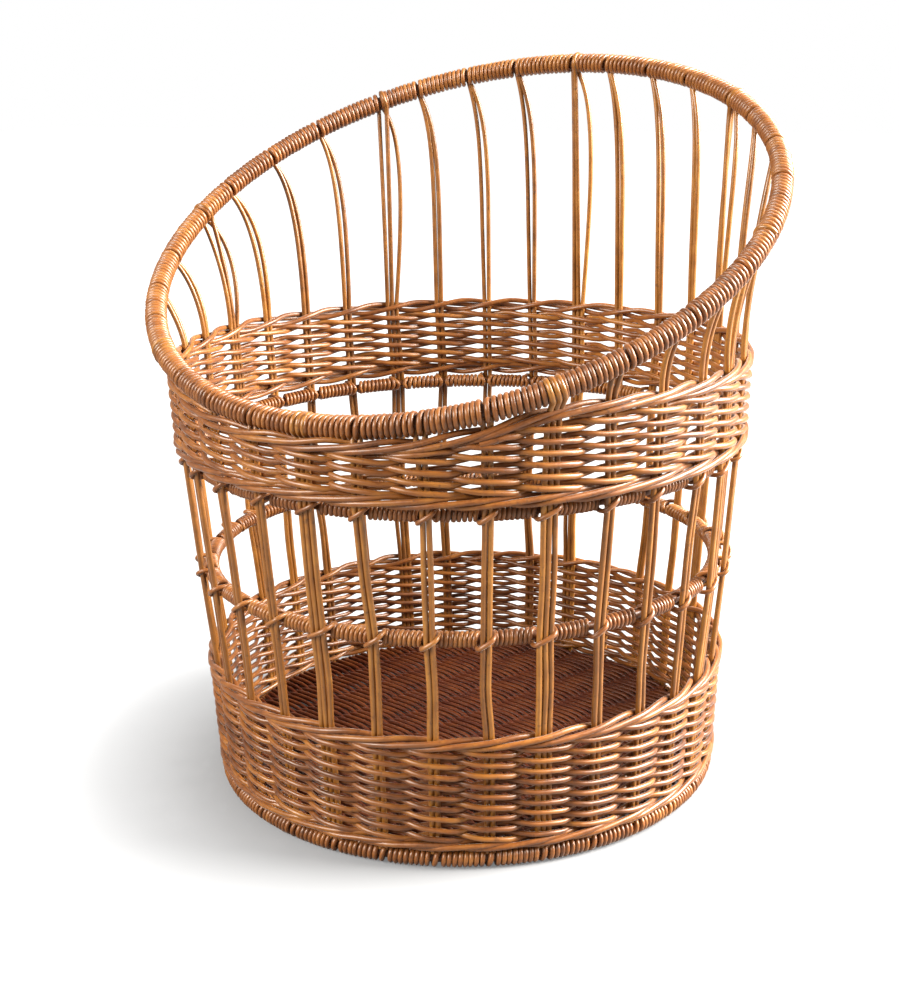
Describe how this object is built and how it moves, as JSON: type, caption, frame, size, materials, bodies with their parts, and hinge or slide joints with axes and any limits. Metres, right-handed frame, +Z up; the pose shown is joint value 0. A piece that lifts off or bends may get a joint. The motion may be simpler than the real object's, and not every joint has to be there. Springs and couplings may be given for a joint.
{
  "type": "woven wicker basket",
  "caption": "Round woven wicker basket on a foot hoop, with woven bands, open stakes between them and a high tilted wrapped rim.",
  "frame": {"origin": "on the floor, under the middle of the basket", "axes": "+Z up; -Y towards the low side of the tilted rim, which is the front; +X to the right seen from the front"},
  "size_m": [0.5104, 0.4611, 0.5675],
  "materials": {
    "weave": "satin varnished willow or rattan strand",
    "stakes": "satin varnished rod",
    "hoop_wrapping": "satin varnished strand",
    "hoop_core": "plain rod, hidden by the wrapping",
    "floor": "satin varnished strand, reddish brown"
  },
  "bodies": {
    "root": {"foot_hoop_wrap": "hoop_wrapping", "foot_hoop_core": "hoop_core", "middle_hoop_wrap": "hoop_wrapping", "middle_hoop_core": "hoop_core", "upper_hoop_wrap": "hoop_wrapping", "upper_hoop_core": "hoop_core", "rim_hoop_wrap": "hoop_wrapping", "rim_hoop_core": "hoop_core", "post_1": "stakes", "post_2": "stakes", "post_3": "stakes", "post_4": "stakes", "post_5": "stakes", "post_6": "stakes", "post_7": "stakes", "post_8": "stakes", "stake_pair_1": "stakes", "stake_pair_2": "stakes", "stake_pair_3": "stakes", "stake_pair_4": "stakes", "stake_pair_5": "stakes", "stake_pair_6": "stakes", "stake_pair_7": "stakes", "stake_pair_8": "stakes", "stake_pair_9": "stakes", "stake_pair_10": "stakes", "stake_pair_11": "stakes", "stake_pair_12": "stakes", "stake_pair_13": "stakes", "stake_pair_14": "stakes", "stake_pair_15": "stakes", "stake_pair_16": "stakes", "stake_pair_17": "stakes", "stake_pair_18": "stakes", "stake_pair_19": "stakes", "stake_pair_20": "stakes", "stake_pair_21": "stakes", "stake_pair_22": "stakes", "stake_pair_23": "stakes", "stake_pair_24": "stakes", "lower_band_weave": "weave", "upper_band_weave": "weave", "lower_band_bottom_wale": "weave", "lower_band_top_wale": "weave", "upper_band_bottom_wale": "weave", "upper_band_top_wale": "weave", "floor_panel": "floor"}
  },
  "joints": []
}
